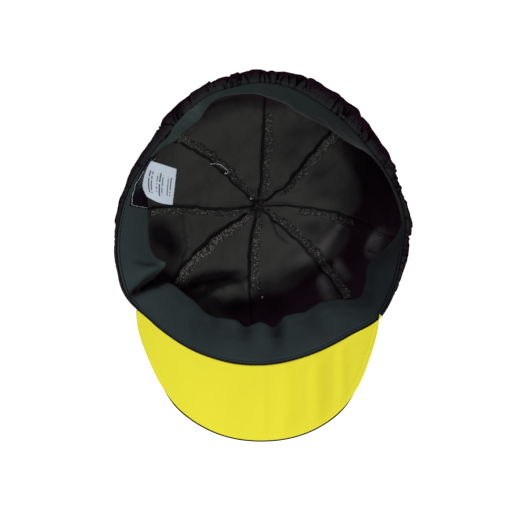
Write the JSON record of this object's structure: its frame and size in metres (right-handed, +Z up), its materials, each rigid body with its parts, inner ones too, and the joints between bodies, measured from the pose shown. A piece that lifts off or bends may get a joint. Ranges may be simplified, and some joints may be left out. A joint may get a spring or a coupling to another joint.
{
  "type": "cycling cap",
  "caption": "Soft panelled cycling cap lying on its crown, opening up, with a short peak, an inner head band, gathers at the back and overlocked seams showing inside.",
  "frame": {"origin": "on the surface that the crown rests on, under the middle of the cap's outline", "axes": "+Z up through the opening, -Y towards the peak, +X towards the side without the care label"},
  "size_m": [0.1985, 0.2447, 0.1],
  "materials": {
    "crown_cloth": "black fine twill with a soft sheen",
    "band_cloth": "dark green-grey smooth stretch cloth",
    "under_peak_cloth": "bright yellow tightly woven cloth",
    "seam_thread": "charcoal overlock thread",
    "label_cloth": "white satin ribbon",
    "tag_cloth": "black satin ribbon"
  },
  "bodies": {
    "root": {"crown_panel_1": "crown_cloth", "crown_panel_2": "crown_cloth", "crown_panel_3": "crown_cloth", "crown_panel_4": "crown_cloth", "crown_panel_5": "crown_cloth", "crown_panel_6": "crown_cloth", "crown_panel_7": "crown_cloth", "crown_panel_8": "crown_cloth", "seam_allowance_1": "seam_thread", "seam_allowance_2": "seam_thread", "seam_allowance_3": "seam_thread", "seam_allowance_4": "seam_thread", "seam_allowance_5": "seam_thread", "seam_allowance_6": "seam_thread", "seam_allowance_7": "seam_thread", "seam_allowance_8": "seam_thread", "seam_knot": "seam_thread", "head_band": "band_cloth", "side_tag": "tag_cloth", "care_label": "label_cloth", "peak_under": "under_peak_cloth", "peak_top": "crown_cloth"}
  },
  "joints": []
}
